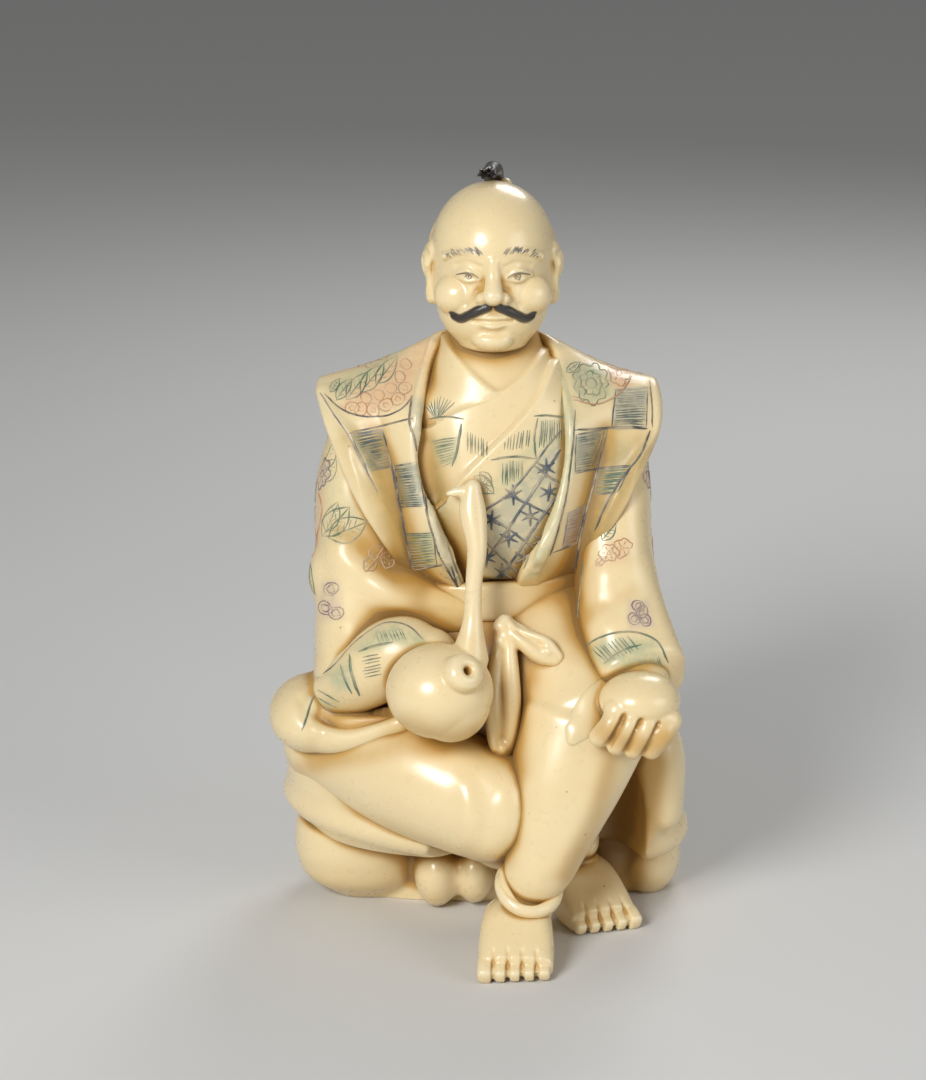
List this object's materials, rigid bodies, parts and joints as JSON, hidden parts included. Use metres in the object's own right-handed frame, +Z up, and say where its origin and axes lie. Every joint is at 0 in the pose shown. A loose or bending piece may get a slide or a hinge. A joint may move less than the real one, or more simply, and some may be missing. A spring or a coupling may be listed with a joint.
{
  "type": "netsuke figurine",
  "caption": "Seated man in wing-shouldered court dress on a lobed stone, knee raised, holding a long-necked gourd to the chest; small cast ornament with cord holes in the back.",
  "frame": {"origin": "middle of the stone's flat underside", "axes": "+Z up, the figure looks along -Y, and +X is towards the figure's left hand"},
  "size_m": [0.0565, 0.051, 0.1001],
  "materials": {
    "ivory_resin": "polished cream resin, stained amber in the hollows",
    "patterned_resin": "polished cream resin with engraved and inked textile patterns",
    "ink_resin": "resin stained black"
  },
  "bodies": {
    "root": {"topknot": "ink_resin", "head": "ivory_resin", "gourd": "ivory_resin", "left_hand": "ivory_resin", "sash_bow": "ivory_resin", "sash": "ivory_resin", "vest_right": "patterned_resin", "vest_left": "patterned_resin", "right_forearm": "patterned_resin", "right_sleeve": "patterned_resin", "left_sleeve": "patterned_resin", "kimono_body": "patterned_resin", "ankle_cuff": "ivory_resin", "left_leg": "ivory_resin", "left_foot": "ivory_resin", "right_leg": "ivory_resin", "right_foot": "ivory_resin", "stone": "ivory_resin", "robe": "ivory_resin"}
  },
  "joints": []
}
